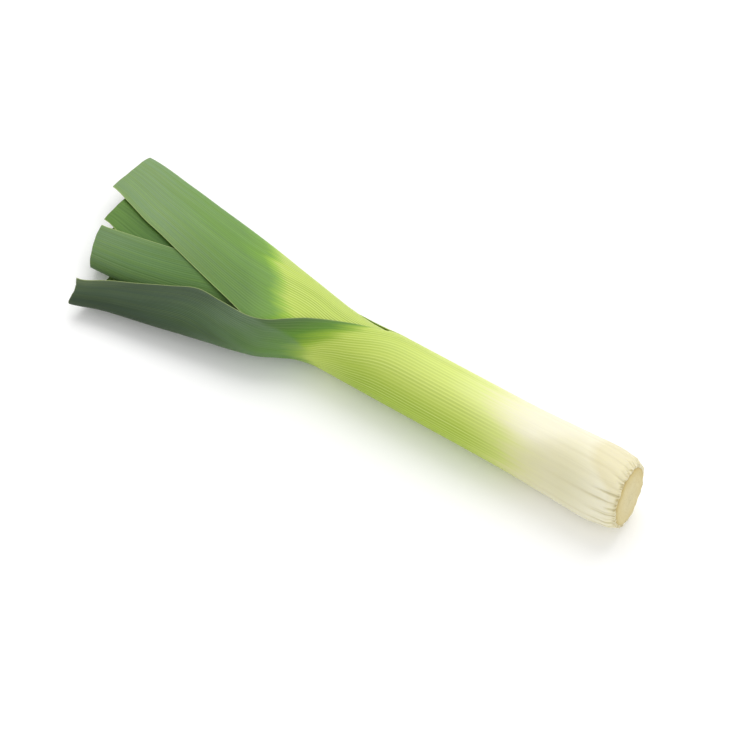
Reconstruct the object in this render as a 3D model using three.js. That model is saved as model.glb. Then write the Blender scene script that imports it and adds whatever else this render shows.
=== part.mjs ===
import * as THREE from 'three';

// Leek, trimmed at both ends and lying on its side. Millimetres, +Z up, blade ends toward -X.
//
// u is the distance along the plant from the cut root face, so x = -u before centring.
// Every leaf is one piece: a tubular sheath that opens at its collar into a blade folded
// along its keel. The leaves alternate left and right and are nested one inside the next,
// so the sheaths make the shaft and the folded blades make a flat fan.

// Outermost sheath, on its mid surface
const SHAFT_RADIUS = [[0, 19.3], [6, 22], [20, 24], [45, 23], [90, 21.6], [200, 21.5]];
// Height of the plant's middle above the surface it lies on
const MIDDLE_HEIGHT = [[0, 25], [200, 25], [250, 23], [300, 19.5], [360, 15.5], [430, 12]];
// Half the height of the outermost leaf's section
const HALF_HEIGHT = [
  [0, 19.3], [6, 22], [20, 24], [45, 23], [90, 21.6], [205, 21.5],
  [240, 19], [280, 15], [320, 12.2], [360, 10.8], [430, 9.8],
];
// Section exponent: 2 is round, larger has a flatter top
const SECTION_POWER = [[205, 2], [300, 2.7]];
// Step from one leaf to the next, in height and sideways
const LEAF_STEP = [[205, 2.3], [300, 1.4], [430, 1.25]];
const FOLD_STEP = [[205, 2.3], [270, 3.8], [430, 4.4]];
// Leaf thickness: fleshy sheath, thin blade
const THICKNESS = [[180, 1.7], [270, 0.75]];
const HEART_CLEARANCE = 0.25;
// How far the sides of the fan hang below its middle, at FAN_HALF_WIDTH
const FAN_DROOP = [[230, 0], [430, 1.5]];
const FAN_HALF_WIDTH = 65;
const SHAFT_END = 200;

// Rows of every leaf along u, the extra rows past a leaf's own collar, and the clearance
// kept between the two
const STATIONS = [
  6, 13, 23, 45, 90, 150, 182, 205, 225, 238, 250, 262, 274, 288, 305, 325, 348, 372, 395, 415,
];
const OPENING_ROWS = [4, 9, 15, 22, 30];
const ROW_CLEARANCE = 4;

const ROOT_PLATE_RADIUS = 17.9;
const ROOT_PLATE_SIDES = 36;
const INNER_LEAF_BASE = 2.2;

// keel:  [u, sideways position] of the folded edge past the shaft
// turn:  [u, degrees] the keel is rolled up around the section, where the sheath twists
// upper, lower: [u, degrees] around the section, over and under, to each margin of the
//        blade from the collar on; the two add up to 360 at the collar
// cut:   how much further the margins reach than the keel at the trimmed end
const LEAVES = [
  {
    name: 'leaf_1', side: -1, base: 0.4, collar: 182, end: 394, cutUpper: 5, cutLower: -2,
    columns: 24, colour: 0x9dbb5c,
    keel: [
      [200, -21.5], [224, -21.7], [239, -24.7], [251, -31.4], [262, -38], [276, -42.1],
      [298, -46.6], [334, -54], [372, -61.2], [399, -68.5],
    ],
    turn: [[182, -37], [285, 0]],
    upper: [
      [182, 143], [191, 122], [203, 104.5], [226, 79.5], [250, 64.5], [272, 57.5], [300, 63.5],
      [319, 67.5], [340, 60], [365, 50], [380, 45.5], [399, 40],
    ],
    lower: [
      [182, 217], [197, 208], [212, 196], [225, 184], [250, 155], [280, 116], [330, 63],
      [360, 59], [394, 70],
    ],
  },
  {
    name: 'leaf_2', side: 1, base: INNER_LEAF_BASE, collar: 222, end: 434,
    cutUpper: -2, cutLower: -3, columns: 22, colour: 0x7f9f58,
    keel: [
      [200, 19.2], [225, 22.8], [238, 26.2], [255, 31], [279, 37.4], [301, 43.3],
      [331, 50.4], [363, 57], [388, 62.4], [434, 69.8],
    ],
    upper: [
      [222, 180], [250, 146], [273, 131], [300, 113], [341, 94.5], [377, 82.5], [396, 77],
      [415, 73], [434, 69.5],
    ],
    lower: [[222, 180], [240, 132], [262, 94], [300, 72], [341, 59], [400, 51], [434, 56]],
  },
  {
    name: 'leaf_3', side: -1, base: INNER_LEAF_BASE, collar: 245, end: 402,
    cutUpper: 14, cutLower: 8, columns: 20, colour: 0x78995a,
    keel: [[200, -16.9], [245, -17.6], [300, -24], [350, -31.5], [380, -34.6], [416, -35]],
    upper: [[245, 180], [270, 149], [300, 119], [345, 85.5], [378, 76.5], [402, 70], [416, 66.5]],
    lower: [[245, 180], [270, 144], [300, 110], [360, 65], [416, 53]],
  },
  {
    name: 'leaf_4', side: 1, base: INNER_LEAF_BASE, collar: 262, end: 419,
    cutUpper: 0, cutLower: -4, columns: 18, colour: 0x6fa04a,
    keel: [[200, 14.6], [240, 16], [300, 27], [350, 37], [420, 49]],
    upper: [[262, 180], [285, 154], [310, 136], [360, 119], [400, 110], [419, 103]],
    lower: [[262, 180], [285, 145], [310, 115], [360, 77], [420, 63]],
  },
  {
    name: 'leaf_5', side: -1, base: INNER_LEAF_BASE, collar: 278, end: 400,
    cutUpper: 2, cutLower: 0, columns: 16, colour: 0x7cab52,
    keel: [[200, -12.3], [250, -12.6], [300, -16.6], [420, -25.5]],
    upper: [[278, 180], [300, 145], [325, 119], [370, 95], [420, 79]],
    lower: [[278, 180], [300, 141], [325, 106], [370, 72], [420, 59]],
  },
  {
    name: 'leaf_6', side: 1, base: INNER_LEAF_BASE, collar: 292, end: 417,
    cutUpper: -3, cutLower: -2, columns: 16, colour: 0x86b356,
    keel: [[200, 10], [250, 11.4], [300, 18], [420, 35]],
    upper: [[292, 180], [315, 145], [340, 119], [380, 98], [420, 82]],
    lower: [[292, 180], [315, 138], [340, 106], [380, 74], [420, 63]],
  },
  {
    name: 'leaf_7', side: -1, base: INNER_LEAF_BASE, collar: 305, end: 409,
    cutUpper: 3, cutLower: 1, columns: 14, colour: 0x93bd5c,
    keel: [[200, -7.7], [250, -8], [300, -10], [420, -15]],
    upper: [[305, 180], [325, 145], [350, 121], [385, 103], [420, 90]],
    lower: [[305, 180], [325, 138], [350, 110], [385, 79], [420, 67]],
  },
];
const HEART = {
  name: 'heart_leaf', side: 1, base: INNER_LEAF_BASE, end: 402, columns: 12, colour: 0xa9cc6c,
  keel: [[200, 5.4], [250, 5.8], [300, 8.2], [420, 13]],
};

// Smooth curve through [x, y] stations that never overshoots them, level outside them.
function curve(stations) {
  const steps = stations.slice(1).map(([x, y], k) => {
    const length = x - stations[k][0];
    return { length, slope: (y - stations[k][1]) / length };
  });
  const tangents = stations.map((_, k) => {
    const before = steps[k - 1];
    const after = steps[k];
    if (!before || !after || before.slope * after.slope <= 0) return 0;
    const weightBefore = 2 * after.length + before.length;
    const weightAfter = after.length + 2 * before.length;
    return (weightBefore + weightAfter) / (weightBefore / before.slope + weightAfter / after.slope);
  });
  return (x) => {
    const last = stations.length - 1;
    if (x <= stations[0][0]) return stations[0][1];
    if (x >= stations[last][0]) return stations[last][1];
    const k = stations.findIndex((station, index) => index < last && x < stations[index + 1][0]);
    const { length } = steps[k];
    const s = (x - stations[k][0]) / length;
    return (1 + 2 * s) * (1 - s) ** 2 * stations[k][1]
      + s * (1 - s) ** 2 * length * tangents[k]
      + s * s * (3 - 2 * s) * stations[k + 1][1]
      + s * s * (s - 1) * length * tangents[k + 1];
  };
}

const shaftRadius = curve(SHAFT_RADIUS);
const middleHeight = curve(MIDDLE_HEIGHT);
const halfHeight = curve(HALF_HEIGHT);
const sectionPower = curve(SECTION_POWER);
const leafStep = curve(LEAF_STEP);
const foldStep = curve(FOLD_STEP);
const thickness = curve(THICKNESS);
const fanDroop = curve(FAN_DROOP);
const keels = [...LEAVES, HEART].map((leaf) => curve(leaf.keel));

// The two side ends of leaf number `index` at u: its own keel, and the side it wraps around.
function sideEnds(index, side, u) {
  if (u <= SHAFT_END) {
    const radius = shaftRadius(u) - index * leafStep(u);
    return [side * radius, -side * radius];
  }
  const opposite = index === 0 ? keels[1](u) + leafStep(u) : keels[index - 1](u) + side * foldStep(u);
  return [keels[index](u), opposite];
}

// Point of a leaf at u, `angle` radians from its keel end over the top of the section,
// moved `offset` outward from the mid surface.
function leafPoint(index, side, u, angle, offset) {
  const [own, opposite] = sideEnds(index, side, u);
  const halfWidth = Math.abs(own - opposite) / 2;
  const height = halfHeight(u) - index * leafStep(u);
  const power = sectionPower(u);
  const across = Math.cos(angle);
  const up = Math.sign(Math.sin(angle)) * Math.sqrt(1 - Math.abs(across) ** power);
  const normalAcross = Math.sign(across) * Math.abs(across) ** (power - 1) * (power / 2) / halfWidth;
  const normalUp = up / height;
  const scale = offset / Math.hypot(normalAcross, normalUp);
  const y = (own + opposite) / 2 + side * (halfWidth * across + scale * normalAcross);
  const droop = fanDroop(u) * (y / FAN_HALF_WIDTH) ** 2;
  const z = middleHeight(u) - droop + height * up + scale * normalUp;
  return [-u, y, z];
}

function rowStations(leaf) {
  const shortest = leaf.end + Math.min(0, leaf.cutUpper ?? 0, leaf.cutLower ?? 0);
  const own = leaf.collar ? [leaf.collar, ...OPENING_ROWS.map((step) => leaf.collar + step)] : [];
  const fixed = [leaf.base, ...own, shortest];
  const clear = STATIONS.filter((u) => u < shortest
    && fixed.every((other) => Math.abs(u - other) >= ROW_CLEARANCE));
  return [leaf.base, ...clear, ...own, leaf.end].sort((a, b) => a - b);
}

function meshFrom(name, colour, positions, triangles) {
  const geometry = new THREE.BufferGeometry();
  geometry.setAttribute('position', new THREE.Float32BufferAttribute(positions, 3));
  geometry.setIndex(triangles);
  geometry.computeVertexNormals();
  const material = new THREE.MeshStandardMaterial({ color: colour, roughness: 0.5, metalness: 0 });
  const mesh = new THREE.Mesh(geometry, material);
  mesh.name = name;
  return mesh;
}

// One leaf with its sheath closed up to the collar row and its blade open beyond it.
function makeLeaf(leaf, index) {
  const turn = leaf.turn ? curve(leaf.turn) : () => 0;
  const upper = curve(leaf.upper);
  const lower = curve(leaf.lower);
  const rows = rowStations(leaf);
  const collarRow = rows.indexOf(leaf.collar);
  const half = leaf.columns / 2;
  const positions = [];
  const triangles = [];

  const addVertex = (row, column, outward) => {
    const t = (column - half) / half;
    const isLast = row === rows.length - 1;
    const cut = t > 0 ? leaf.cutUpper : leaf.cutLower;
    const u = rows[row] + (isLast ? cut * Math.abs(t) : 0);
    const degrees = turn(u) * (1 - Math.abs(t)) + t * (t > 0 ? upper(u) : lower(u));
    positions.push(...leafPoint(index, leaf.side, u, THREE.MathUtils.degToRad(degrees),
      outward * thickness(u) / 2));
    return positions.length / 3 - 1;
  };
  const surface = (outward) => rows.map((_, row) => {
    const line = [];
    for (let column = 0; column < leaf.columns; column += 1) {
      line.push(addVertex(row, column, outward));
    }
    line.push(row <= collarRow ? line[0] : addVertex(row, leaf.columns, outward));
    return line;
  });
  const outer = surface(1);
  const inner = surface(-1);

  const quad = (a, b, c, d) => {
    const [p, q, r, s] = leaf.side < 0 ? [a, b, c, d] : [d, c, b, a];
    triangles.push(p, q, r, p, r, s);
  };
  const last = rows.length - 1;
  for (let column = 0; column < leaf.columns; column += 1) {
    for (let row = 0; row < last; row += 1) {
      quad(outer[row][column], outer[row][column + 1], outer[row + 1][column + 1],
        outer[row + 1][column]);
      quad(inner[row][column + 1], inner[row][column], inner[row + 1][column],
        inner[row + 1][column + 1]);
    }
    quad(outer[0][column + 1], outer[0][column], inner[0][column], inner[0][column + 1]);
    quad(outer[last][column], outer[last][column + 1], inner[last][column + 1],
      inner[last][column]);
  }
  for (let row = collarRow; row < last; row += 1) {
    const end = leaf.columns;
    quad(inner[row][0], outer[row][0], outer[row + 1][0], inner[row + 1][0]);
    quad(outer[row][end], inner[row][end], inner[row + 1][end], outer[row + 1][end]);
  }
  return meshFrom(leaf.name, leaf.colour, positions, triangles);
}

// A closed body through rings of [x, y, z] points, each end closed at the ring's middle.
function makeRings(name, colour, rings) {
  const count = rings[0].length;
  const positions = rings.flat(2);
  const triangles = [];
  for (let row = 0; row < rings.length - 1; row += 1) {
    for (let k = 0; k < count; k += 1) {
      const a = row * count + k;
      const b = row * count + (k + 1) % count;
      triangles.push(a, b, b + count, a, b + count, a + count);
    }
  }
  [0, rings.length - 1].forEach((row) => {
    const middle = [0, 1, 2].map((axis) => (
      rings[row].reduce((sum, point) => sum + point[axis], 0) / count));
    const centre = positions.length / 3;
    positions.push(...middle);
    for (let k = 0; k < count; k += 1) {
      const a = row * count + k;
      const b = row * count + (k + 1) % count;
      triangles.push(...(row === 0 ? [b, a, centre] : [a, b, centre]));
    }
  });
  return meshFrom(name, colour, positions, triangles);
}

// The innermost rolled leaf, solid to its middle.
function makeHeart() {
  const index = LEAVES.length;
  const rings = rowStations(HEART).map((u) => (
    Array.from({ length: HEART.columns }, (_, k) => (
      leafPoint(index, HEART.side, u, -2 * Math.PI * k / HEART.columns,
        thickness(u) / 2 - HEART_CLEARANCE)))));
  return makeRings(HEART.name, HEART.colour, rings);
}

// The disc of stem left where the roots were cut off, held in the rim of the outermost leaf.
function makeRootPlate() {
  const profile = [[-0.6, 14.5], [0.1, 17.2], [0.6, ROOT_PLATE_RADIUS], [1.8, ROOT_PLATE_RADIUS]];
  const rings = profile.map(([u, radius]) => (
    Array.from({ length: ROOT_PLATE_SIDES }, (_, k) => {
      const angle = -2 * Math.PI * k / ROOT_PLATE_SIDES;
      return [-u, radius * Math.cos(angle), middleHeight(0) + radius * Math.sin(angle)];
    })));
  return makeRings('root_plate', 0xcdb98a, rings);
}

const leek = new THREE.Group();
leek.name = 'leek';
leek.add(...LEAVES.map(makeLeaf), makeHeart(), makeRootPlate());

// Centre the plant on the origin, resting on z = 0.
const box = new THREE.Box3().setFromObject(leek);
leek.children.forEach((mesh) => {
  mesh.geometry.translate(-(box.min.x + box.max.x) / 2, -(box.min.y + box.max.y) / 2, -box.min.z);
});

export default leek;
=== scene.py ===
import math

import bpy
import numpy as np
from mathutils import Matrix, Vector


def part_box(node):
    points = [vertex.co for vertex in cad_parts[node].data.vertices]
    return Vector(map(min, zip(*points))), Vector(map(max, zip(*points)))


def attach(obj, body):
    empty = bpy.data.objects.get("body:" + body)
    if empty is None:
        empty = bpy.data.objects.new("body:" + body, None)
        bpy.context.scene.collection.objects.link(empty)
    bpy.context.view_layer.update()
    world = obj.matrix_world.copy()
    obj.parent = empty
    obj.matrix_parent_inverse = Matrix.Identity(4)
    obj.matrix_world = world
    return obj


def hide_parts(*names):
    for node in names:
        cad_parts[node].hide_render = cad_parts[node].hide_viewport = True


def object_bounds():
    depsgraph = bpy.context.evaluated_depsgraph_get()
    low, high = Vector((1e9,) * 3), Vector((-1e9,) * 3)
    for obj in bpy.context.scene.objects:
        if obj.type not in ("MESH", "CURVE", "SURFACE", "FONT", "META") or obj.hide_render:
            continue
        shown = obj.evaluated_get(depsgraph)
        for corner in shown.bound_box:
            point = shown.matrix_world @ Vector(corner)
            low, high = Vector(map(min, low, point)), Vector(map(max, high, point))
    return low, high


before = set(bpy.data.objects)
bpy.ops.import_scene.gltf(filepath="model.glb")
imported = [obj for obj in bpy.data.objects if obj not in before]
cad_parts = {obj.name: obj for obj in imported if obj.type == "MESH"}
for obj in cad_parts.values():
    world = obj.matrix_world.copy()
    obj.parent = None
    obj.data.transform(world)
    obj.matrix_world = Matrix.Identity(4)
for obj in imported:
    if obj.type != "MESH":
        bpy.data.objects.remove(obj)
cad_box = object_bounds()

MM = 0.001
LEAF_MATERIAL_LENGTH = 450.0    # mm of leaf from 0 to 1 along the colour ramps

# The root plate's box gives the plant's own frame, in mm: u from the root end along the
# shaft, v from its axis to the far side, and z up, with the plate's middle at PLATE_HEIGHT.
plate_low, plate_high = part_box("root_plate")
PLATE_PROUD = 0.6                 # how far the plate's face stands out past u = 0
ROOT_X = plate_high.x - PLATE_PROUD * MM
AXIS_Y = (plate_low.y + plate_high.y) / 2
AXIS_Z = (plate_low.z + plate_high.z) / 2
PLATE_HEIGHT = 25.0


# ---------------------------------------------------------------- shape of the plant, in mm

def curve(stations):
    """Smooth curve through (x, y) stations that never overshoots them, level outside them."""
    x = np.array([station[0] for station in stations], float)
    y = np.array([station[1] for station in stations], float)
    length = np.diff(x)
    slope = np.diff(y) / length
    tangent = np.zeros(len(x))
    for k in range(1, len(x) - 1):
        if slope[k - 1] * slope[k] > 0:
            before = 2 * length[k] + length[k - 1]
            after = length[k] + 2 * length[k - 1]
            tangent[k] = (before + after) / (before / slope[k - 1] + after / slope[k])

    def value(at):
        at = np.clip(np.asarray(at, float), x[0], x[-1])
        k = np.clip(np.searchsorted(x, at, side="right") - 1, 0, len(length) - 1)
        s = (at - x[k]) / length[k]
        return ((1 + 2 * s) * (1 - s) ** 2 * y[k] + s * (1 - s) ** 2 * length[k] * tangent[k]
                + s * s * (3 - 2 * s) * y[k + 1] + s * s * (s - 1) * length[k] * tangent[k + 1])
    return value


def smooth(low, high, x):
    s = np.clip((x - low) / (high - low), 0, 1)
    return s * s * (3 - 2 * s)


shaft_radius = curve([(0, 19.3), (6, 22), (20, 24), (45, 23), (90, 21.6), (200, 21.5)])
middle_height = curve([(0, 25), (200, 25), (250, 23), (300, 19.5), (360, 15.5), (430, 12)])
half_height = curve([(0, 19.3), (6, 22), (20, 24), (45, 23), (90, 21.6), (205, 21.5),
                     (240, 19), (280, 15), (320, 12.2), (360, 10.8), (430, 9.8)])
section_power = curve([(205, 2), (300, 2.7)])
leaf_step = curve([(205, 2.3), (300, 1.4), (430, 1.25)])
fold_step = curve([(205, 2.3), (270, 3.8), (430, 4.4)])
thickness = curve([(180, 1.7), (270, 0.75)])
fan_droop = curve([(230, 0), (430, 1.5)])
FAN_HALF_WIDTH = 65
CUT_TILT = 0.11                   # the cut root face leans back towards its top
CUT_TURN = 0.10                   # and towards the far side
CUT_REACH = 14                    # mm of shaft in which the lean and the wider rim fade out
RIM_WIDER = 0.04                  # the rim's growth sideways, as a share of v
RIM_ASIDE = 0.3                   # and its shift to the far side and up, in mm
RIM_HIGHER = 0.6
PALE_SIDE = math.radians(125)     # around the shaft from its front, over the top
# Where the painted shade on the shaft lies darkest, around the shaft from its front
SHADED_SIDE = math.radians(-20)
SHADED_SIDE_TURN = math.radians(55)     # how much further over the top it lies on the bulb
SHAFT_END = 200
FAN_KINK = 262
CUT_EASE = 45                     # mm of blade in which the margins follow its slanted cut
MARGIN_WIDTH = 3.5                # mm at the margins in which a blade gets thinner,
MARGIN_THINNING = 0.7             # by this share of its thickness
NO_MARGIN = 40.0                  # distance to the margin where the leaf is a closed tube

LEVEL = [(0, 0), (1, 0)]
USUAL = dict(base=2.2, hollow=0, bend=1, base_slant=0, turn=LEVEL, sweep=LEVEL)
# Each leaf as the CAD part has it. side is where its keel lies, -1 near and 1 far. base,
# collar and end are mm from the root: the sheath is a closed tube up to the collar. keel is
# v along the leaf. upper and lower are degrees around the section from the keel to the
# margins, and turn is how far its middle line lies from the keel. cut_upper and cut_lower
# are how much further the blade runs at its margins than at its keel, and hollow how much
# shorter it is midway between them.
# The rest is its look. ribs is the number of veins in each half and green where its lime
# turns green. slant is how much nearer to the root that is at the margins: bend 1 spreads
# this evenly from the keel outwards, and a higher one keeps it near the margins and at the
# very keel. base_slant is how much further from the root the white ends on the shaft's pale
# side, and sweep how far the veins drift towards the lower margin, as a share of the half
# width.
LEAVES = [
    dict(name="leaf_1", side=-1, base=0.4, collar=182, end=394, hollow=2.2, cut_upper=5, cut_lower=-2,
         columns=300, rows=160, ribs=32, green=232, slant=42, bend=2.5, base_slant=26,
         sweep=[(182, 0), (207, 0.05), (219, 0.14), (228, 0.28), (243, 0.4), (258, 0.38), (320, 0)],
         keel=[(200, -21.5), (224, -21.7), (239, -24.7), (251, -31.4), (262, -38), (276, -42.1),
               (298, -46.6), (334, -54), (372, -61.2), (399, -68.5)],
         turn=[(182, -37), (285, 0)],
         upper=[(182, 143), (191, 122), (203, 104.5), (226, 79.5), (250, 64.5), (272, 57.5),
                (300, 63.5), (319, 67.5), (340, 60), (365, 50), (380, 45.5), (399, 40)],
         lower=[(182, 217), (197, 208), (212, 196), (225, 184), (250, 155), (280, 116), (330, 63),
                (360, 59), (394, 70)]),
    dict(name="leaf_2", side=1, collar=222, end=434, hollow=0.3, cut_upper=-2, cut_lower=-3,
         columns=240, rows=130, ribs=40, green=305, slant=70,
         sweep=[(215, 0), (262, 0.1), (320, 0)],
         keel=[(200, 19.2), (225, 22.8), (238, 26.2), (255, 31), (279, 37.4), (301, 43.3),
               (331, 50.4), (363, 57), (388, 62.4), (434, 69.8)],
         upper=[(222, 180), (250, 146), (273, 131), (300, 113), (341, 94.5), (377, 82.5),
                (396, 77), (415, 73), (434, 69.5)],
         lower=[(222, 180), (240, 132), (262, 94), (300, 72), (341, 59), (400, 51), (434, 56)]),
    dict(name="leaf_3", side=-1, collar=245, end=402, hollow=-1.6, cut_upper=14, cut_lower=8,
         columns=200, rows=120, ribs=24, green=270, slant=20,
         keel=[(200, -16.9), (245, -17.6), (300, -24), (350, -31.5), (380, -34.6), (416, -35)],
         upper=[(245, 180), (270, 149), (300, 119), (345, 85.5), (378, 76.5), (402, 70),
                (416, 66.5)],
         lower=[(245, 180), (270, 144), (300, 110), (360, 65), (416, 53)]),
    dict(name="leaf_4", side=1, collar=262, end=419, hollow=-0.5, cut_upper=0, cut_lower=-4,
         columns=180, rows=110, ribs=22, green=290, slant=20,
         keel=[(200, 14.6), (240, 16), (300, 27), (350, 37), (420, 49)],
         upper=[(262, 180), (285, 154), (310, 136), (360, 119), (400, 110), (419, 103)],
         lower=[(262, 180), (285, 145), (310, 115), (360, 77), (420, 63)]),
    dict(name="leaf_5", side=-1, collar=278, end=400, cut_upper=2, cut_lower=0,
         columns=140, rows=90, ribs=20, green=310, slant=10,
         keel=[(200, -12.3), (250, -12.6), (300, -16.6), (420, -25.5)],
         upper=[(278, 180), (300, 145), (325, 119), (370, 95), (420, 79)],
         lower=[(278, 180), (300, 141), (325, 106), (370, 72), (420, 59)]),
    dict(name="leaf_6", side=1, collar=292, end=417, cut_upper=-3, cut_lower=-2,
         columns=120, rows=90, ribs=18, green=310, slant=10,
         keel=[(200, 10), (250, 11.4), (300, 18), (420, 35)],
         upper=[(292, 180), (315, 145), (340, 119), (380, 98), (420, 82)],
         lower=[(292, 180), (315, 138), (340, 106), (380, 74), (420, 63)]),
    dict(name="leaf_7", side=-1, collar=305, end=409, cut_upper=3, cut_lower=1,
         columns=100, rows=90, ribs=16, green=310, slant=10,
         keel=[(200, -7.7), (250, -8), (300, -10), (420, -15)],
         upper=[(305, 180), (325, 145), (350, 121), (385, 103), (420, 90)],
         lower=[(305, 180), (325, 138), (350, 110), (385, 79), (420, 67)]),
]
LEAVES = [USUAL | leaf for leaf in LEAVES]
HEART = dict(name="heart_leaf", side=1, base=USUAL["base"], end=402,
             keel=[(200, 5.4), (250, 5.8), (300, 8.2), (420, 13)])
keels = [curve(leaf["keel"]) for leaf in LEAVES + [HEART]]


def side_ends(index, side, u):
    """Sideways position of a leaf's own keel, and of the far side that it wraps around."""
    radius = shaft_radius(u) - index * leaf_step(u)
    if index == 0:
        opposite = keels[1](u) + leaf_step(u)
    else:
        opposite = keels[index - 1](u) + side * fold_step(u)
    in_shaft = u <= SHAFT_END
    return np.where(in_shaft, side * radius, keels[index](u)), np.where(in_shaft, -side * radius, opposite)


def section_point(index, side, u, angle, offset):
    """Points (u, v, z) at u, `angle` radians from the keel end over the top of the section."""
    own, opposite = side_ends(index, side, u)
    half_width = np.abs(own - opposite) / 2
    height = half_height(u) - index * leaf_step(u)
    power = section_power(u)
    across = np.cos(angle)
    up = np.sign(np.sin(angle)) * np.sqrt(1 - np.abs(across) ** power)
    normal_across = np.sign(across) * np.abs(across) ** (power - 1) * (power / 2) / half_width
    normal_up = up / height
    scale = offset / np.hypot(normal_across, normal_up)
    v = (own + opposite) / 2 + side * (half_width * across + scale * normal_across)
    z = middle_height(u) - fan_droop(u) * (v / FAN_HALF_WIDTH) ** 2 + height * up + scale * normal_up
    ripple = smooth(280, 340, u) * np.clip(up, 0, 1)
    z = z + ripple * (0.16 * np.sin(u / 23 + v / 17) + 0.1 * np.sin(u / 13 - v / 27 + 1.0))
    return u, v, z


def to_row_frame(u, v, z):
    """The plant's own mm as row frame metres, with the cut at the root leaning."""
    near_cut = 1 - smooth(0, CUT_REACH, u)
    u = u + (CUT_TILT * (z - PLATE_HEIGHT) + CUT_TURN * v) * near_cut
    v = v + (RIM_WIDER * v + RIM_ASIDE) * near_cut
    z = z + RIM_HIGHER * near_cut
    return np.stack([ROOT_X - u * MM, AXIS_Y + v * MM, AXIS_Z + (z - PLATE_HEIGHT) * MM], -1)


# ---------------------------------------------------------------- leaves

def base_pleats(around, u, radius, seed):
    """Depth, in mm, of the short creases that gather the sheath at the root plate and of the
    long shallow folds that run up the bulb."""
    random = np.random.default_rng(seed)
    depth = np.zeros(np.broadcast(around, u).shape)
    for k in range(50):
        place = (k + random.uniform(-0.45, 0.45)) / 50 * 2 * math.pi
        reach = random.choice([6, 10, 14, 20, 28])
        width = random.uniform(0.45, 0.9)
        amount = random.uniform(0.2, 0.75)
        lean = random.uniform(-0.06, 0.06)
        apart = (around - place - lean * (u / 20) + math.pi) % (2 * math.pi) - math.pi
        fade = (1 - smooth(1, reach, u)) * (0.45 + 0.55 * smooth(0, 2.5, u))
        depth += amount * np.exp(-(apart * radius / width) ** 2) * fade
    for k in range(18):
        place = (k + random.uniform(-0.4, 0.4)) / 18 * 2 * math.pi
        start = random.uniform(3, 9)
        reach = random.uniform(60, 130)
        width = random.uniform(0.9, 1.8)
        amount = random.uniform(0.14, 0.32)
        apart = (around - place + math.pi) % (2 * math.pi) - math.pi
        depth += (amount * np.exp(-(apart * radius / width) ** 2)
                  * smooth(start - 4, start + 6, u) * (1 - smooth(start + 10, reach, u)))
    return depth


def leaf_rows(leaf):
    """Rows of a leaf along u: close together at the base, the collar and the fan's kink."""
    spread = np.linspace(leaf["base"], leaf["end"], 1200)
    wanted = (1 + 2.6 * np.exp(-(spread / 14) ** 2) + 1.6 * np.exp(-((spread - leaf["collar"] - 8) / 16) ** 2)
              + 0.8 * np.exp(-((spread - FAN_KINK) / 30) ** 2))
    total = np.concatenate([[0], np.cumsum((wanted[1:] + wanted[:-1]) / 2)])
    rows = np.interp(np.linspace(0, total[-1], leaf["rows"]), total, spread)
    nearest = int(np.argmin(np.abs(rows - leaf["collar"])))
    rows[nearest] = leaf["collar"]
    return rows, nearest


def even_angles(index, leaf, u, from_angle, to_angle, count):
    """Angles that step evenly along the section from one angle to another."""
    share = np.linspace(0, 1, 500)[None, :]
    angle = from_angle[:, None] * (1 - share) + to_angle[:, None] * share
    _, v, z = section_point(index, leaf["side"], u[:, None], angle, 0.0)
    step = np.hypot(np.diff(v, axis=1), np.diff(z, axis=1))
    run = np.concatenate([np.zeros((len(u), 1)), np.cumsum(step, axis=1)], axis=1)
    angles = np.array([np.interp(np.linspace(0, r[-1], count + 1), r, a) for r, a in zip(run, angle)])
    return angles, run[:, -1]


def eased(rows, values, reach):
    """The same values along the rows, with their bends rounded over about `reach` mm."""
    even = np.arange(rows[0], rows[-1] + 1.0)
    kernel = np.exp(-(np.arange(-3 * reach, 3 * reach + 1) / reach) ** 2)
    padded = np.pad(np.interp(even, rows, values), 3 * reach, mode="edge")
    return np.interp(rows, even, np.convolve(padded, kernel / kernel.sum(), mode="valid"))


def build_piece(name, vertices, faces, uv_layers, material, sharp=35):
    """An object from lists of points and faces, smooth except at edges over `sharp` degrees."""
    mesh = bpy.data.meshes.new(name)
    mesh.from_pydata(vertices, [], faces)
    for layer_name, corners in uv_layers.items():
        layer = mesh.uv_layers.new(name=layer_name)
        layer.data.foreach_set("uv", corners.astype(np.float32).ravel())
    mesh.polygons.foreach_set("use_smooth", np.ones(len(mesh.polygons), bool))
    mesh.set_sharp_from_angle(angle=math.radians(sharp))
    mesh.materials.append(material)
    mesh.update()
    piece = bpy.data.objects.new(name, mesh)
    bpy.context.scene.collection.objects.link(piece)
    return piece


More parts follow.
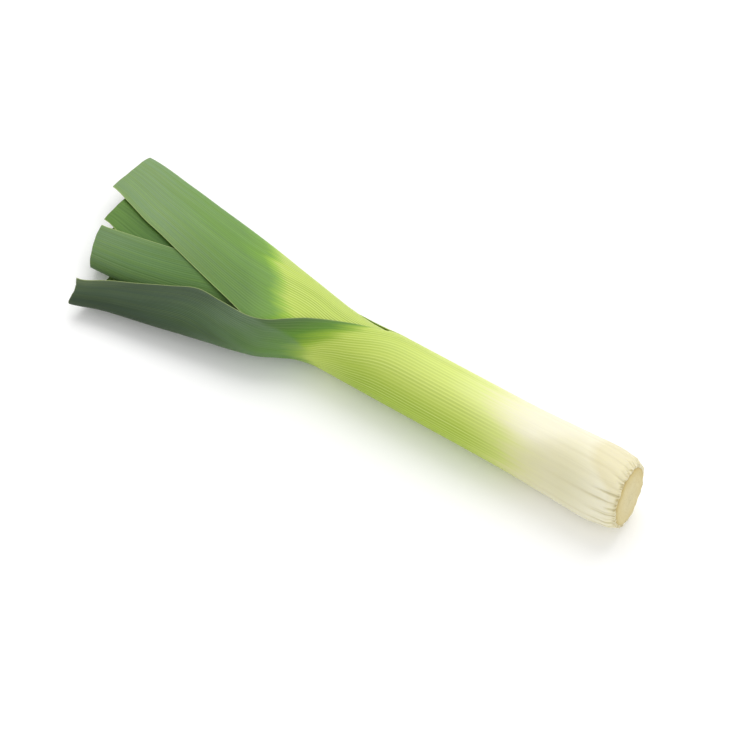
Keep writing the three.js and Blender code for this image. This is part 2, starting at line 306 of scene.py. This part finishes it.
def make_leaf(index, leaf, material):
    """A leaf as an outer and an inner surface, joined at its base, its cut and its margins."""
    rows, collar_row = leaf_rows(leaf)
    half = leaf["columns"] // 2
    # t runs from -1 at the lower margin over 0 at the keel to 1 at the upper margin
    t = np.linspace(-1, 1, 2 * half + 1)[None, :]
    off_keel = np.abs(t)
    near_end = smooth(leaf["end"] - CUT_EASE, leaf["end"], rows)
    turn = np.radians(curve(leaf["turn"])(rows))
    over = np.radians(curve(leaf["upper"])(rows + leaf["cut_upper"] * near_end))
    under = np.radians(curve(leaf["lower"])(rows + leaf["cut_lower"] * near_end))
    upper, upper_run = even_angles(index, leaf, rows, turn, over, half)
    lower, lower_run = even_angles(index, leaf, rows, turn, -under, half)
    angle = np.concatenate([lower[:, ::-1], upper[:, 1:]], axis=1)
    run = np.where(t > 0, upper_run[:, None], lower_run[:, None])
    to_margin = (1 - off_keel) * run

    u = np.repeat(rows[:, None], t.shape[1], axis=1)
    cut = (np.where(t > 0, leaf["cut_upper"], leaf["cut_lower"]) * off_keel
           - leaf["hollow"] * np.sin(math.pi * off_keel)
           + 0.22 * np.sin(t * 7 + index) + 0.08 * np.sin(t * 23 + 2 * index))
    u = u + cut * near_end[:, None]
    if index == 0:
        u = u + (0.25 * np.sin(t * 23) + 0.2 * np.sin(t * 61 + 1)) * (1 - smooth(0.5, 4, u))

    # Where each point's veins, colours, waxy coat and painted sheen are looked up, and where its painted
    # shade lies
    opened = smooth(leaf["collar"], leaf["collar"] + 14, u)
    gentle = np.where(t > 0, eased(rows, upper_run, 14)[:, None], eased(rows, lower_run, 14)[:, None])
    vein = t * run / gentle + curve(leaf["sweep"])(u) * (1 - off_keel ** 1.5)
    from_front = angle if leaf["side"] < 0 else math.pi - angle
    pale = smooth(0, 0.9, np.cos(from_front - PALE_SIDE)) * (1 - smooth(120, 180, u))
    at_keel = 4 * (leaf["bend"] - 1) * np.exp(-(t / 0.2) ** 2)
    place = (u + (leaf["slant"] * off_keel ** leaf["bend"] + at_keel) * smooth(150, 200, u)
             - leaf["base_slant"] * pale)
    collar_edge = np.exp(-((u - leaf["collar"] - 4) / 9) ** 2) * (1 - smooth(0, 8, to_margin))
    place = place - 60 * collar_edge
    # Painted shade: darker on the side of the shaft turned from the light, further over the top on the bulb,
    # fading out at the root and where the fan opens
    shaded_side = SHADED_SIDE + SHADED_SIDE_TURN * (1 - smooth(40, 80, u))
    painted_shade = (smooth(0.1, 1, np.cos(from_front - shaded_side))
            * smooth(4, 40, u) * (1 - smooth(185, 230, u)))
    # A waxy blue-grey patch on the blades, strongest before the fan's kink: partly the leaf's real wax,
    # partly a painted sheen where the blade folds
    bloom_and_sheen = (smooth(204, 212, u - 65 * np.clip(t, 0, 1))
             * smooth(leaf["green"] - 6, leaf["green"] + 8, place)
             * (1 - 0.85 * smooth(FAN_KINK, 315, u)))
    near_keel = 1 - smooth(0.05, 0.5, off_keel)
    near_margin = 0.85 * smooth(0.3, 0.95, off_keel) * (1 - smooth(320, 400, u))
    shade = smooth(258, 295, u) * (near_margin if index == 1 else near_keel)

    thin = 1 - MARGIN_THINNING * opened * (1 - smooth(0.0, MARGIN_WIDTH, to_margin))
    half_thickness = thickness(u) / 2 * thin
    rib_height = curve([(50, 0), (110, 0.03), (210, 0.04), (290, 0.018), (430, 0.015)])(u)
    ribs = rib_height * np.cos(2 * math.pi * vein * leaf["ribs"])
    ribs = ribs * smooth(0.5, 3, to_margin * opened + 5 * (1 - opened))
    outward = half_thickness + ribs
    crease = np.zeros(u.shape)
    if index == 0:
        # The outermost sheath is creased, a little uneven, and thicker at the cut
        crease = base_pleats(angle, u, shaft_radius(u), 7)
        outward = outward - crease + 0.12 * np.sin(3 * angle + u / 40) * (1 - smooth(20, 90, u))
        outward = outward + 0.25 * np.exp(-((u - 4) / 3.5) ** 2)
        half_thickness = half_thickness + 0.35 * (1 - smooth(0.5, 4, u))
    outer = to_row_frame(*section_point(index, leaf["side"], u, angle, outward))
    inner = to_row_frame(*section_point(index, leaf["side"], u, angle, -half_thickness))

    count_rows, count_columns = u.shape
    grid = np.arange(count_rows * count_columns).reshape(count_rows, count_columns)
    grid[:collar_row + 1, -1] = grid[:collar_row + 1, 0]
    vertices = np.concatenate([outer.reshape(-1, 3), inner.reshape(-1, 3)])
    far = grid + count_rows * count_columns
    along = u / LEAF_MATERIAL_LENGTH
    margin = np.where(np.arange(count_rows)[:, None] <= collar_row, NO_MARGIN, to_margin)
    to_cut = leaf["end"] + cut - u

    layers = {"Leaf": (vein, along), "PlaceShade": (place / LEAF_MATERIAL_LENGTH, painted_shade),
              "WaxSheen": (bloom_and_sheen, crease), "Edge": (margin, to_cut), "Side": (None, shade)}
    faces = []
    corners = {key: [] for key in layers}

    def add(vertex_grids, rows_at, columns_at, inside):
        """Quads whose corners are at the given rows and columns; inside is 0, 0.5 or 1."""
        quads = [g[r, c] for g, r, c in zip(vertex_grids, rows_at, columns_at)]
        faces.append(np.stack(quads, -1).reshape(-1, 4))
        for key, pair in layers.items():
            values = [np.full(faces[-1].shape, inside) if values is None else np.stack(
                [values[r, c] for r, c in zip(rows_at, columns_at)], -1).reshape(-1, 4) for values in pair]
            corners[key].append(np.stack(values, -1))

    r, c = np.meshgrid(np.arange(count_rows - 1), np.arange(count_columns - 1), indexing="ij")
    add([grid] * 4, [r, r, r + 1, r + 1], [c, c + 1, c + 1, c], 0.0)
    add([far] * 4, [r, r, r + 1, r + 1], [c + 1, c, c, c + 1], 1.0)
    c = np.arange(count_columns - 1)
    first = np.zeros_like(c)
    last = np.full_like(c, count_rows - 1)
    add([grid, grid, far, far], [first] * 4, [c + 1, c, c, c + 1], 0.5)
    add([grid, grid, far, far], [last] * 4, [c, c + 1, c + 1, c], 0.5)
    r = np.arange(collar_row, count_rows - 1)
    low = np.zeros_like(r)
    high = np.full_like(r, count_columns - 1)
    add([far, grid, grid, far], [r, r, r + 1, r + 1], [low] * 4, 0.5)
    add([grid, far, far, grid], [r, r, r + 1, r + 1], [high] * 4, 0.5)

    faces = np.concatenate(faces)
    uv_layers = {key: np.concatenate(parts) for key, parts in corners.items()}
    if leaf["side"] > 0:
        faces = faces[:, ::-1]
        uv_layers = {key: uv[:, ::-1] for key, uv in uv_layers.items()}
    used, compact = np.unique(faces, return_inverse=True)
    return build_piece(leaf["name"] + "_grown", vertices[used].tolist(),
                       compact.reshape(faces.shape).tolist(), uv_layers, material)


def make_heart(material):
    """The innermost leaf, rolled so tightly that it is solid, with a flat cap at each end."""
    rows = np.linspace(HEART["base"], HEART["end"], 90)
    columns = 60
    angle = -2 * math.pi * np.arange(columns + 1)[None, :] / columns
    u = np.repeat(rows[:, None], columns + 1, axis=1)
    offset = thickness(u) / 2 - 0.25 + 0.04 * np.cos(angle * 14)
    ring = to_row_frame(*section_point(len(LEAVES), HEART["side"], u, angle, offset))
    grid = np.arange(u.size).reshape(u.shape)
    grid[:, -1] = grid[:, 0]
    r, c = np.meshgrid(np.arange(len(rows) - 1), np.arange(columns), indexing="ij")
    walls = np.stack([grid[r, c], grid[r, c + 1], grid[r + 1, c + 1], grid[r + 1, c]], -1)
    faces = walls.reshape(-1, 4).tolist() + [grid[0, :-1][::-1].tolist(), grid[-1, :-1].tolist()]
    used = np.unique(grid)
    renumber = {int(v): n for n, v in enumerate(used)}

    around = np.stack([c, c + 1, c + 1, c], -1).ravel() * 2 / columns - 1
    along = np.stack([rows[r], rows[r], rows[r + 1], rows[r + 1]], -1).ravel() / LEAF_MATERIAL_LENGTH
    around = np.concatenate([around, np.zeros(2 * columns)])
    along = np.concatenate([along, np.full(columns, 0.01), np.full(columns, 0.89)])
    nothing = np.zeros(len(around))
    to_cut = HEART["end"] - along * LEAF_MATERIAL_LENGTH
    layers = {"Leaf": (around, along), "PlaceShade": (along, nothing), "WaxSheen": (nothing, nothing),
              "Edge": (nothing + NO_MARGIN, to_cut), "Side": (nothing, nothing)}
    return build_piece(HEART["name"] + "_grown", ring.reshape(-1, 3)[used].tolist(),
                       [[renumber[v] for v in face] for face in faces],
                       {key: np.stack(pair, -1) for key, pair in layers.items()}, material)


def make_root_plate(material):
    """The cut stem disc: a slightly domed, uneven face with a ragged rim, closed behind."""
    sides = 180
    random = np.random.default_rng(11)
    k = np.arange(sides)
    around = 2 * math.pi * k / sides
    rim = 1 + 0.006 * np.sin(3 * around + 1) + 0.005 * np.sin(7 * around) + 0.004 * np.sin(19 * around + 2)
    rim = rim + random.normal(0, 0.0025, sides)
    rings = [(-0.75, 0.0)]
    rings += [(-0.75 + 0.35 * (r / 17.0) ** 6, r) for r in np.linspace(0.8, 17.0, 26)]
    rings += [(0.05, 17.9), (0.6, 18.3), (1.7, 18.3), (1.8, 17.9), (1.8, 0.0)]
    vertices = []
    faces = []
    for level, (u, radius) in enumerate(rings):
        if radius == 0.0:
            vertices.append((u, 0.0, 0.0))
            continue
        bump = (0.10 * np.sin(radius * 1.9) + 0.12 * np.sin(5 * around + radius / 3)
                + random.normal(0, 0.05, sides)) * (1 if 2 < level < 27 else 0)
        reach = radius * (rim if radius > 12 else 1)
        vertices += list(zip(u + bump, reach * np.cos(around), reach * np.sin(around)))
    vertices = np.array(vertices)
    count = len(rings) - 2
    start = 1
    for n in range(sides):
        faces.append((0, start + n, start + (n + 1) % sides))
    for level in range(count - 1):
        a = start + level * sides
        b = a + sides
        for n in range(sides):
            m = (n + 1) % sides
            faces.append((a + n, b + n, b + m, a + m))
    back = len(vertices) - 1
    a = start + (count - 1) * sides
    for n in range(sides):
        faces.append((back, a + (n + 1) % sides, a + n))
    points = to_row_frame(vertices[:, 0], vertices[:, 1], PLATE_HEIGHT + vertices[:, 2])
    return build_piece("root_plate_cut", points.tolist(), faces, {}, material, sharp=50)


# ---------------------------------------------------------------- materials

def colour(red, green, blue):
    """A screen colour, 0 to 255, as linear RGBA."""
    def linear(value):
        value = value / 255
        return value / 12.92 if value <= 0.04045 else ((value + 0.055) / 1.055) ** 2.4
    return linear(red), linear(green), linear(blue), 1.0


class Nodes:
    """A small helper for building one material's nodes."""

    def __init__(self, name):
        self.material = bpy.data.materials.new(name)
        self.material.use_nodes = True
        self.tree = self.material.node_tree
        self.shader = self.tree.nodes["Principled BSDF"]

    def put(self, socket, value):
        if isinstance(value, bpy.types.NodeSocket):
            self.tree.links.new(value, socket)
        else:
            socket.default_value = value

    def fill(self, node, inputs):
        for key, value in inputs.items():
            self.put(node.inputs[key], value)
        return node

    def node(self, kind, inputs):
        return self.fill(self.tree.nodes.new(kind), inputs)

    def math(self, operation, *values):
        made = self.tree.nodes.new("ShaderNodeMath")
        made.operation = operation
        for socket, value in zip(made.inputs, values):
            self.put(socket, value)
        return made.outputs[0]

    def span(self, value, low, high, to_low=0.0, to_high=1.0):
        made = self.tree.nodes.new("ShaderNodeMapRange")
        made.interpolation_type = "SMOOTHSTEP"
        for socket, content in zip(made.inputs, (value, low, high, to_low, to_high)):
            self.put(socket, content)
        return made.outputs[0]

    def mix(self, factor, a, b, blend="MIX"):
        made = self.tree.nodes.new("ShaderNodeMix")
        made.data_type = "RGBA"
        made.blend_type = blend
        return self.fill(made, {0: factor, 6: a, 7: b}).outputs[2]

    def ramp(self, position, stops):
        made = self.tree.nodes.new("ShaderNodeValToRGB")
        elements = made.color_ramp.elements
        while len(elements) < len(stops):
            elements.new(0.5)
        for element, (at, value) in zip(elements, stops):
            element.position = at
            element.color = value
        self.put(made.inputs[0], position)
        return made.outputs[0]

    def noise(self, vector, scale=1.0, detail=2.0, roughness=0.5):
        made = self.node("ShaderNodeTexNoise", {"Vector": vector, "Scale": scale, "Detail": detail,
                                                "Roughness": roughness})
        return made.outputs["Fac"]

    def vector(self, x, y, z=0.0):
        return self.node("ShaderNodeCombineXYZ", {0: x, 1: y, 2: z}).outputs[0]

    def relief(self, height, strength, distance):
        """Bumps the shader's surface; distance is in metres."""
        made = self.node("ShaderNodeBump", {"Height": height, "Strength": strength,
                                            "Distance": distance})
        self.put(self.shader.inputs["Normal"], made.outputs[0])

    def uv(self, layer):
        made = self.tree.nodes.new("ShaderNodeUVMap")
        made.uv_map = layer
        split = self.tree.nodes.new("ShaderNodeSeparateXYZ")
        self.tree.links.new(made.outputs[0], split.inputs[0])
        return split.outputs[0], split.outputs[1]


# Colour stops: mm along the leaf, and the screen colour there
SHEATH = [(0, (228, 220, 184)), (7, (236, 231, 205)), (48, (236, 232, 204)), (62, (233, 231, 190)),
          (76, (227, 229, 164))]
INSIDE = [(0, (222, 216, 180)), (90, (212, 212, 150)), (200, (186, 204, 104)), (300, (128, 158, 68)),
          (434, (104, 136, 60))]


def share(mm):
    """A place along the leaf as its position on the colour ramps."""
    return mm / LEAF_MATERIAL_LENGTH


def leaf_material(name, ribs, green, seed, veins, wax_and_sheen, blade):
    """A leaf's skin. ribs and green are as in LEAVES. veins is how strongly its pale veins
    show, wax how strong its waxy blue-grey coat and painted sheen are, and blade its colour stops past
    SHEATH."""
    n = Nodes(name)
    vein, along = n.uv("Leaf")
    place, painted_shade = n.uv("PlaceShade")
    bloom_and_sheen, crease = n.uv("WaxSheen")
    margin, cut = n.uv("Edge")
    inside, shade = n.uv("Side")
    turn = n.math("MULTIPLY", vein, math.pi)
    cos = n.math("COSINE", turn)
    sin = n.math("SINE", turn)

    def streaks(across, lengthways, offset, detail=2.0, roughness=0.5):
        """Noise that runs along the leaf and closes on itself around the sheath."""
        radius = ribs * across / math.pi
        where = n.vector(n.math("MULTIPLY", cos, radius), n.math("MULTIPLY", sin, radius),
                         n.math("MULTIPLY_ADD", along, lengthways, seed + offset))
        return n.noise(where, 1.0, detail, roughness)

    def colours(at, stops):
        return n.ramp(at, [(share(mm), colour(*value)) for mm, value in stops])

    wide = streaks(0.3, 2.4, 0.0)
    fine = streaks(1.6, 4.0, 9.0, 3.0, 0.6)
    hair = streaks(5.0, 9.0, 17.0)
    patch = streaks(0.12, 7.0, 31.0)

    # The colour along the leaf, with its changes pulled into streaks
    streak = n.math("MULTIPLY_ADD", n.math("SUBTRACT", wide, 0.5), 0.05,
                    n.math("MULTIPLY", n.math("SUBTRACT", fine, 0.5), 0.05))
    at = n.math("MULTIPLY_ADD", streak, n.span(along, 0.03, 0.2, 0.15, 1.0), place)
    skin = n.mix(inside, colours(at, SHEATH + blade), colours(at, INSIDE))

    # Veins: pale lines on the sheath with deeper lime between them, faint in the blade
    wave = n.math("COSINE", n.math("MULTIPLY", vein, 2 * math.pi * ribs))
    line = n.math("POWER", n.math("MULTIPLY_ADD", wave, 0.5, 0.5), 2.2)
    in_green = n.span(at, share(62), share(118))
    in_blade = n.span(at, share(green - 4), share(green + 12))
    # Painted shade on the side of the shaft and bulb turned from the light: a grey tint on the bulb, a deeper
    # lime on the shaft
    painted_shade_tint = n.mix(in_green, colour(238, 237, 223), colour(206, 221, 136))
    skin = n.mix(painted_shade, skin, n.mix(1.0, skin, painted_shade_tint, "MULTIPLY"))
    shown = n.math("MULTIPLY", in_green, n.math("MULTIPLY_ADD", in_blade, -0.9 * veins, veins))
    uneven = n.math("MULTIPLY", n.span(fine, 0.3, 0.65, 0.25, 1.0),
                    n.span(wide, 0.35, 0.65, 0.55, 1.1))
    skin = n.mix(n.math("MULTIPLY", n.math("MULTIPLY", line, shown),
                        n.math("MULTIPLY", uneven, 0.5)), skin, colour(216, 229, 136))
    trough = n.math("MULTIPLY", n.math("SUBTRACT", 1.0, line),
                    n.math("MULTIPLY", shown, n.span(wide, 0.35, 0.65, 0.16, 0.3)))
    skin = n.mix(trough, skin, colour(104, 134, 22))

    # Long irregular streaks, stronger in the blade, and its shaded parts
    grain = n.math("MULTIPLY_ADD", hair, 0.45, n.math("MULTIPLY", fine, 0.55))
    tone = n.math("MULTIPLY_ADD", n.math("SUBTRACT", grain, 0.5),
                  n.math("MULTIPLY_ADD", in_blade, 0.75, 0.16), 1.0)
    tone = n.math("MULTIPLY", tone, n.math("MULTIPLY_ADD", shade, -0.26, 1.0))
    skin = n.mix(1.0, skin, n.vector(tone, tone, tone), "MULTIPLY")

    if wax_and_sheen:
        blue = n.math("MULTIPLY", n.span(along, 0.56, 0.66),
                      n.span(streaks(0.8, 3.0, 43.0, 3.0, 0.6), 0.38, 0.62, 0.0, 0.8))
        skin = n.mix(blue, skin, n.mix(1.0, skin, (0.98, 0.98, 1.38, 1.0), "MULTIPLY"))
        # The waxy patch: partly the leaf's real blue-grey wax, partly a painted sheen on the fold
        amount = n.math("MULTIPLY", bloom_and_sheen, n.span(patch, 0.3, 0.7, 0.25 * wax_and_sheen, wax_and_sheen))
        amount = n.math("MULTIPLY", amount, n.math("SUBTRACT", 1.0, inside))
        skin = n.mix(amount, skin, colour(110, 134, 106))

    # Painted shade in the creases, pale margins painted as a highlight, and the dried edges of the root cut
    # and the blade's cut
    # Painted shade: a darker, greyer colour down in the sheath's creases
    skin = n.mix(n.span(crease, 0.03, 0.6, 0.0, 0.65), skin, colour(194, 184, 138))
    # Painted highlight: a pale line along the blade margins, where the thin edge catches the light
    skin = n.mix(n.span(margin, 0.15, 0.7, 0.5, 0.0), skin, colour(180, 198, 124))
    torn = n.math("MULTIPLY", n.span(along, 0.001, 0.006, 1.0, 0.0),
                  n.span(fine, 0.42, 0.6, 0.0, 0.75))
    skin = n.mix(torn, skin, colour(170, 152, 92))
    dry = n.math("MULTIPLY", n.span(cut, 0.1, 0.9, 1.0, 0.0), n.span(fine, 0.35, 0.7, 0.1, 0.5))
    skin = n.mix(dry, skin, colour(132, 136, 92))

    roughness = n.math("MULTIPLY_ADD", fine, 0.12, n.span(along, 0.15, 0.65, 0.4, 0.5))
    n.fill(n.shader, {"Base Color": skin, "Roughness": roughness, "Specular IOR Level": 0.32,
                      "Subsurface Weight": 0.1, "Subsurface Radius": (1.0, 0.9, 0.35),
                      "Subsurface Scale": 0.002})
    n.relief(n.math("MULTIPLY_ADD", wave, n.span(along, 0.1, 0.3, 0.03, 0.25),
                    n.math("MULTIPLY", grain, 1.6)), 0.35, 0.00018)
    return n.material


def root_material():
    """The cut stem: rings of colour from the middle to the rim, with darker cells in it."""
    n = Nodes("root_plate_skin")
    place = n.tree.nodes.new("ShaderNodeTexCoord").outputs["Object"]
    grain = n.noise(place, 900.0, 4.0, 0.6)
    patch = n.noise(place, 160.0, 3.0, 0.55)
    cells = n.node("ShaderNodeTexVoronoi", {"Vector": place, "Scale": 620.0})
    dots = n.span(cells.outputs["Distance"], 0.12, 0.4, 1.0, 0.0)
    split = n.node("ShaderNodeSeparateXYZ", {0: place})
    y = n.math("SUBTRACT", split.outputs[1], AXIS_Y)
    z = n.math("SUBTRACT", split.outputs[2], AXIS_Z)
    radius = n.math("SQRT", n.math("ADD", n.math("MULTIPLY", y, y), n.math("MULTIPLY", z, z)))
    radius = n.math("ADD", radius, n.math("MULTIPLY", n.math("SUBTRACT", patch, 0.5), 0.004))
    skin = n.ramp(n.math("MULTIPLY", radius, 50.0), [
        (0.0, colour(214, 203, 160)), (0.45, colour(214, 201, 154)), (0.72, colour(210, 195, 142)),
        (0.86, colour(205, 188, 130)), (0.93, colour(192, 170, 108))])
    skin = n.mix(n.math("MULTIPLY", dots, 0.22), skin, colour(176, 150, 92))
    skin = n.mix(n.span(patch, 0.3, 0.75, 0.0, 0.35), skin, colour(222, 212, 170))
    n.fill(n.shader, {"Base Color": skin, "Roughness": 0.78})
    n.relief(n.math("ADD", n.math("MULTIPLY", grain, 0.6), n.math("MULTIPLY", patch, 0.8)),
             0.5, 0.0006)
    return n.material


# One look for each of the four outer leaves, and one that the inner leaves share
LOOKS = {
    # leaf_1's blade stops past about 300 mm are darker than its own green: partly its real colour, partly
    # painted shade for a face turned from the light
    "leaf_1": dict(seed=1.0, veins=0.9, wax_and_sheen=0.5, blade=[
        (86, (221, 230, 144)), (112, (214, 227, 122)), (230, (186, 206, 88)), (239, (140, 174, 50)),
        (251, (90, 134, 42)), (268, (78, 114, 48)), (298, (64, 90, 48)), (345, (46, 68, 40)),
        (392, (47, 67, 40)), (440, (78, 94, 58))]),
    "leaf_2": dict(seed=4.0, veins=1.4, wax_and_sheen=0.3, blade=[
        (90, (206, 214, 130)), (150, (190, 206, 104)), (301, (192, 213, 92)), (309, (152, 192, 56)),
        (320, (112, 157, 50)), (345, (102, 143, 58)), (380, (106, 145, 64)), (440, (116, 146, 86))]),
    "leaf_3": dict(seed=8.0, veins=0.8, wax_and_sheen=0.25, blade=[
        (120, (206, 214, 130)), (250, (180, 200, 96)), (300, (80, 120, 38)), (345, (78, 116, 44)),
        (380, (86, 122, 56)), (420, (100, 130, 72))]),
    # leaf_4's dark stop at 335 mm is a painted shadow where leaf_2 lies over it
    "leaf_4": dict(seed=13.0, veins=0.7, wax_and_sheen=0, blade=[
        (130, (206, 214, 130)), (270, (180, 200, 96)), (335, (40, 76, 14)), (380, (58, 98, 28)),
        (430, (84, 122, 46))]),
    "inner_leaf": dict(seed=21.0, veins=0.7, wax_and_sheen=0, blade=[
        (150, (208, 216, 134)), (280, (186, 204, 104)), (350, (112, 148, 54)), (420, (98, 136, 54))]),
}
skins = [(slot_name, leaf_material(slot_name + "_skin", leaf["ribs"], leaf["green"], **look))
         for (slot_name, look), leaf in zip(LOOKS.items(), LEAVES)]


# ---------------------------------------------------------------- pieces

pieces = []
for number, leaf in enumerate(LEAVES):
    slot_name, skin = skins[min(number, len(skins) - 1)]
    pieces.append((make_leaf(number, leaf, skin), leaf["name"], slot_name))
slot_name, skin = skins[-1]
pieces.append((make_heart(skin), "heart_leaf", slot_name))
pieces.append((make_root_plate(root_material()), "root_plate", "root_plate"))
for piece, node, slot_name in pieces:
    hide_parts(node)
    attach(piece, "root")


# ---------------------------------------------------------------- floor, light and camera

def make_stage():
    bpy.ops.mesh.primitive_plane_add(size=12, location=(0, 0, cad_box[0].z))
    floor = bpy.context.object
    floor.name = "floor"
    n = Nodes("floor_paper")
    n.fill(n.shader, {"Base Color": (0.97, 0.97, 0.965, 1), "Roughness": 0.9,
                      "Emission Color": (1, 1, 1, 1), "Emission Strength": 0.06})
    floor.data.materials.append(n.material)


def make_light(name, position, target, size, power):
    data = bpy.data.lights.new(name, "AREA")
    data.shape = "DISK"
    data.size = size
    data.energy = power
    lamp = bpy.data.objects.new(name, data)
    lamp.location = position
    lamp.rotation_mode = "QUATERNION"
    lamp.rotation_quaternion = (Vector(target) - Vector(position)).to_track_quat("-Z", "Y")
    bpy.context.scene.collection.objects.link(lamp)


def make_camera():
    azimuth, elevation, distance = math.radians(35.144), math.radians(50.589), 1.5
    back = Vector((math.sin(azimuth) * math.cos(elevation), -math.cos(azimuth) * math.cos(elevation),
                   math.sin(elevation)))
    aim_u, aim_v, aim_z = 187.876, -6.717, 20.0
    target = Vector((ROOT_X - aim_u * MM, AXIS_Y + aim_v * MM,
                     AXIS_Z + (aim_z - PLATE_HEIGHT) * MM))
    data = bpy.data.cameras.new("camera")
    data.lens = 111.696
    data.sensor_width = 36
    camera = bpy.data.objects.new("camera", data)
    camera.location = target + back * distance
    camera.rotation_mode = "QUATERNION"
    camera.rotation_quaternion = (-back).to_track_quat("-Z", "Y")
    bpy.context.scene.collection.objects.link(camera)
    bpy.context.scene.camera = camera


make_stage()
make_light("key", (-0.45, 1.15, 1.75), (-0.05, 0, 0), 2.4, 26)
make_light("side", (1.3, -0.5, 0.9), (0, 0, 0), 1.2, 3.8)
world = bpy.data.worlds.new("studio")
world.use_nodes = True
background = world.node_tree.nodes["Background"]
background.inputs["Color"].default_value = (1, 1, 1, 1)
background.inputs["Strength"].default_value = 0.73
bpy.context.scene.world = world
bpy.context.scene.view_settings.view_transform = "Standard"
make_camera()

bpy.context.view_layer.update()
